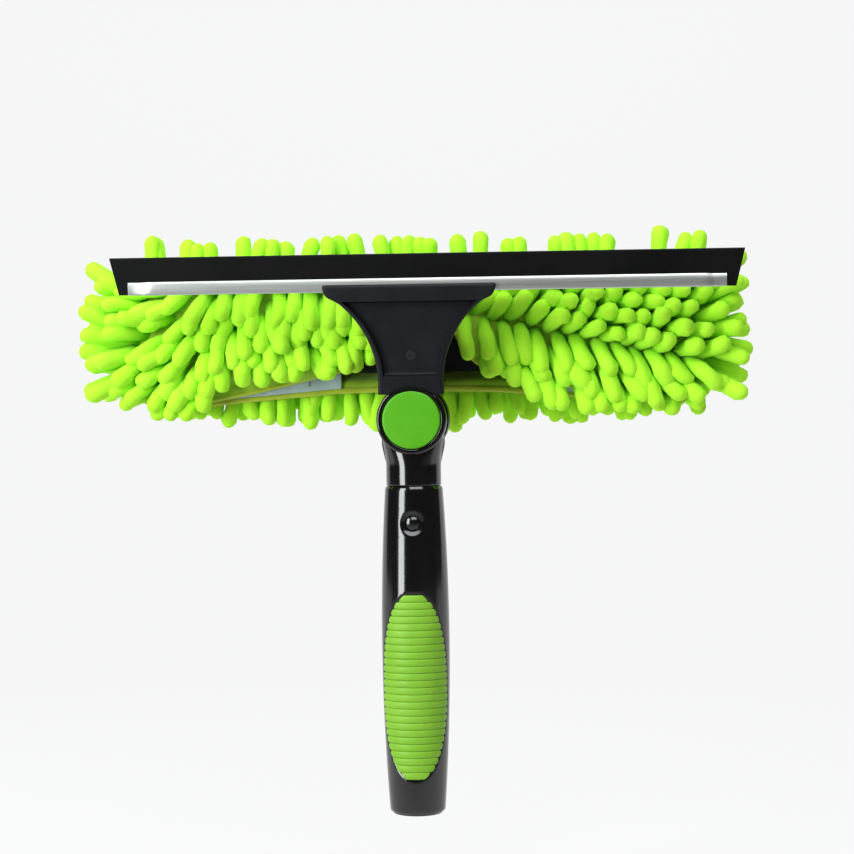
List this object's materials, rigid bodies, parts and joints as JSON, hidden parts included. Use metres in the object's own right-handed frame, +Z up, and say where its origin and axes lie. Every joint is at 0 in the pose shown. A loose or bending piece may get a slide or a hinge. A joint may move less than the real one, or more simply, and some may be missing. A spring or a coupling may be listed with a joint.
{
  "type": "window cleaning squeegee",
  "caption": "Window cleaner with a rubber blade in front of a microfibre scrubber bar, on a lockable swivel hub and a ribbed handle with a socket for an extension pole.",
  "frame": {"origin": "centre of the pole socket's mouth, at the handle's lower end", "axes": "+X along the blade, -Y the front that the push button faces, +Z up the handle towards the blade"},
  "size_m": [0.3288, 0.086, 0.2804],
  "materials": {
    "handle_plastic": "gloss",
    "black_plastic": "satin",
    "bracket_plastic": "satin",
    "grip_rubber": "satin",
    "button_plastic": "satin",
    "gear_plastic": "satin",
    "spring_steel": "satin",
    "channel_steel": "satin",
    "blade_rubber": "matte",
    "cloth": "matte",
    "pile": "matte",
    "tape": "matte",
    "binding": "matte"
  },
  "bodies": {
    "handle": {"handle_shell": "handle_plastic", "grip_front": "grip_rubber", "grip_back": "grip_rubber", "neck": "handle_plastic", "snap_spring": "spring_steel", "pivot_screw": "spring_steel", "pivot_washer": "spring_steel"},
    "head": {"scrubber_frame": "black_plastic", "squeegee_bracket": "bracket_plastic", "bracket_screw": "spring_steel", "channel": "channel_steel", "squeegee_rubber": "blade_rubber", "sleeve_cloth": "cloth", "pile_left": "pile", "pile_right": "pile", "pile_back": "pile", "hook_tape": "tape", "loop_tape": "tape", "sleeve_binding": "binding", "lock_spring": "spring_steel", "hub_cap": "black_plastic"},
    "button": {"lock_button": "button_plastic"},
    "gear": {"lock_gear": "gear_plastic"},
    "snap": {"snap_pin": "black_plastic"}
  },
  "joints": [
    {"name": "head_swivel", "type": "hinge", "parent": "handle", "child": "head", "pos_m": [0, 0, 0.189], "axis": [0, 1, 0], "range_deg": [-90, 90]},
    {"name": "button_press", "type": "slide", "parent": "handle", "child": "button", "axis": [0, 1, 0], "range_m": [0, 0.003], "stiffness_N_per_m": 600, "springref_m": -0.002},
    {"name": "gear_slide", "type": "slide", "parent": "head", "child": "gear", "axis": [0, 1, 0], "range_m": [0, 0.003], "deforming": ["lock_spring"]},
    {"name": "snap_press", "type": "slide", "parent": "handle", "child": "snap", "axis": [0, 1, 0], "range_m": [0, 0.004], "stiffness_N_per_m": 500, "springref_m": -0.002, "deforming": ["snap_spring"]}
  ],
  "couplings": [
    {"joint": "gear_slide", "follows": "button_press", "ratio": 1}
  ]
}
